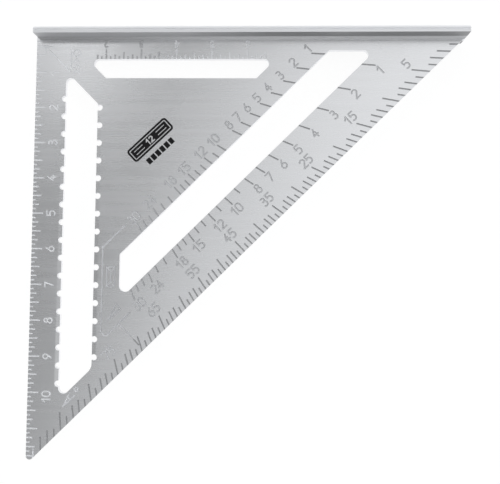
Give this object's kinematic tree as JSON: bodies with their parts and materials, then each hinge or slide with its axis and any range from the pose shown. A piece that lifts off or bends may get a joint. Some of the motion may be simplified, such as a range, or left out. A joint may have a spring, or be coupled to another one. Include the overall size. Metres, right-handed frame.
{
  "type": "speed square",
  "caption": "Flat triangular roofing square with a T-shaped fence, engraved degree and rafter scales, hand slots and a notched scribing slot.",
  "frame": {"origin": "the pivot corner, where the ruler edge meets the plane of the fence's guide faces, on the blade's mid-plane", "axes": "+X along the fence, away from the pivot; -Y down the ruler edge; +Z out of the blade's scale face"},
  "size_m": [0.3055, 0.3058, 0.022],
  "materials": {
    "blade": "brushed, satin",
    "fence": "extruded, satin",
    "ink": "screen-printed black ink"
  },
  "bodies": {
    "root": {"blade": "blade", "fence": "fence", "size_mark": "ink"}
  },
  "joints": []
}
